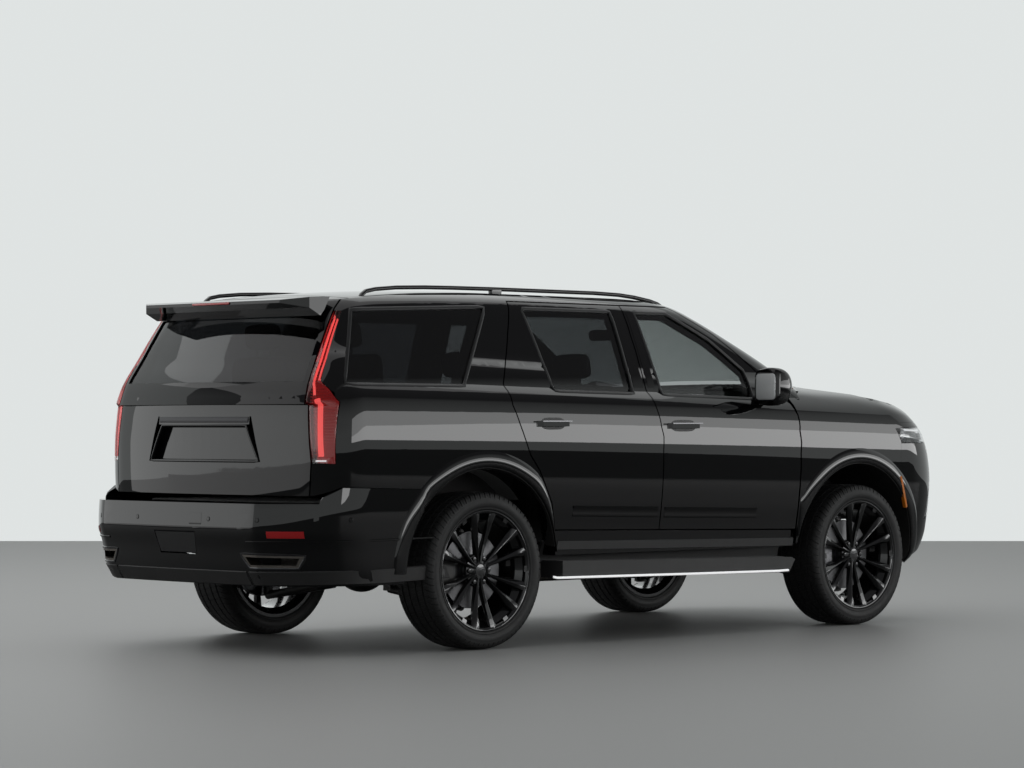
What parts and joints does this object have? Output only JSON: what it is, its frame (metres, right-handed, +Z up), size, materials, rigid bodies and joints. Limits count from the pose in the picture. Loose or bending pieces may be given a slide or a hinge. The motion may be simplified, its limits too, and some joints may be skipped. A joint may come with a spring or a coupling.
{
  "type": "full-size sport utility vehicle",
  "caption": "Full-size sport utility vehicle with hollow cabin, opening doors, hood and liftgate, steered front wheels and free-rolling road wheels.",
  "frame": {"origin": "on the ground at mid length and mid width of the parked vehicle", "axes": "+X forward, +Y to the vehicle's left, +Z up"},
  "size_m": [5.3724, 2.43, 1.9479],
  "materials": {
    "paint": "gloss",
    "gloss_trim": "gloss",
    "dark_plastic": "grained",
    "glass": "clear",
    "dark_glass": "tinted",
    "tyre": "matte",
    "rim": "gloss",
    "steel": "satin",
    "engine": "cast",
    "floor": "carpet",
    "red_lamp": "gloss",
    "clear_lamp": "gloss",
    "leather": "grained"
  },
  "bodies": {
    "chassis": {"frame": "steel", "powertrain": "engine", "front_suspension": "steel", "rear_suspension": "steel", "spare_wheel": "tyre", "fuel_tank": "dark_plastic", "floor": "floor", "tail_lamps": "red_lamp", "body_sides": "paint", "roof": "paint", "roof_rails": "gloss_trim", "fenders": "paint", "front_bumper": "paint", "headlamps": "clear_lamp", "grille": "gloss_trim", "rear_bumper": "paint", "exhaust": "steel", "running_boards": "dark_plastic", "windscreen": "glass", "quarter_glass": "dark_glass", "front_seats": "leather", "rear_seats": "leather", "dashboard": "dark_plastic", "wheel_liners": "dark_plastic", "cowl": "dark_plastic"},
    "hood": {"hood": "paint"},
    "liftgate": {"liftgate": "paint", "rear_glass": "dark_glass"},
    "fuel_door": {"fuel_door": "paint"},
    "steering_wheel": {"steering_wheel": "leather"},
    "door_front_left": {"door_front_left": "paint", "glass_front_left": "dark_glass", "mirror_left": "paint"},
    "door_rear_left": {"door_rear_left": "paint", "glass_rear_left": "dark_glass"},
    "knuckle_left": {"knuckle_left": "steel"},
    "wheel_front_left": {"tyre_front_left": "tyre", "rim_front_left": "rim"},
    "wheel_rear_left": {"tyre_rear_left": "tyre", "rim_rear_left": "rim"},
    "door_front_right": {"door_front_right": "paint", "glass_front_right": "dark_glass", "mirror_right": "paint"},
    "door_rear_right": {"door_rear_right": "paint", "glass_rear_right": "dark_glass"},
    "knuckle_right": {"knuckle_right": "steel"},
    "wheel_front_right": {"tyre_front_right": "tyre", "rim_front_right": "rim"},
    "wheel_rear_right": {"tyre_rear_right": "tyre", "rim_rear_right": "rim"}
  },
  "joints": [
    {"name": "steer_right", "type": "hinge", "parent": "chassis", "child": "knuckle_right", "pos_m": [1.706, -0.8085, 0.419], "axis": [0, 0, 1], "range_deg": [-35, 35]},
    {"name": "steer_left", "type": "hinge", "parent": "chassis", "child": "knuckle_left", "pos_m": [1.706, 0.8085, 0.419], "axis": [0, 0, 1], "range_deg": [-35, 35]},
    {"name": "wheel_front_left_spin", "type": "hinge", "parent": "knuckle_left", "child": "wheel_front_left", "pos_m": [1.706, 0.8685, 0.419], "axis": [0, 1, 0], "continuous": true},
    {"name": "wheel_rear_left_spin", "type": "hinge", "parent": "chassis", "child": "wheel_rear_left", "pos_m": [-1.365, 0.8685, 0.419], "axis": [0, 1, 0], "continuous": true},
    {"name": "door_front_left_hinge", "type": "hinge", "parent": "chassis", "child": "door_front_left", "pos_m": [1.089, 0.99705, 1.01], "axis": [0, 0, -1], "range_deg": [0, 68]},
    {"name": "door_rear_left_hinge", "type": "hinge", "parent": "chassis", "child": "door_rear_left", "pos_m": [-0.09, 1.00578, 1.01], "axis": [0, 0, -1], "range_deg": [0, 68]},
    {"name": "wheel_front_right_spin", "type": "hinge", "parent": "knuckle_right", "child": "wheel_front_right", "pos_m": [1.706, -0.8685, 0.419], "axis": [0, 1, 0], "continuous": true},
    {"name": "wheel_rear_right_spin", "type": "hinge", "parent": "chassis", "child": "wheel_rear_right", "pos_m": [-1.365, -0.8685, 0.419], "axis": [0, 1, 0], "continuous": true},
    {"name": "door_front_right_hinge", "type": "hinge", "parent": "chassis", "child": "door_front_right", "pos_m": [1.089, -0.99705, 1.01], "axis": [0, 0, 1], "range_deg": [0, 68]},
    {"name": "door_rear_right_hinge", "type": "hinge", "parent": "chassis", "child": "door_rear_right", "pos_m": [-0.09, -1.00578, 1.01], "axis": [0, 0, 1], "range_deg": [0, 68]},
    {"name": "hood_hinge", "type": "hinge", "parent": "chassis", "child": "hood", "pos_m": [1.4, 0, 1.401], "axis": [0, -1, 0], "range_deg": [0, 50]},
    {"name": "liftgate_hinge", "type": "hinge", "parent": "chassis", "child": "liftgate", "pos_m": [-2.143, 0, 1.85313], "axis": [0, 1, 0], "range_deg": [0, 85]},
    {"name": "fuel_door_hinge", "type": "hinge", "parent": "chassis", "child": "fuel_door", "pos_m": [-1.845, 0.98234, 1.1175], "axis": [0, 0, -1], "range_deg": [0, 90]},
    {"name": "steering_wheel_turn", "type": "hinge", "parent": "chassis", "child": "steering_wheel", "pos_m": [0.6, 0.4, 1.1987], "axis": [-0.9769, 0, 0.2137], "range_deg": [-490, 490]}
  ],
  "couplings": [
    {"joint": "steer_left", "follows": "steer_right", "ratio": 1},
    {"joint": "steering_wheel_turn", "follows": "steer_right", "ratio": 14}
  ]
}
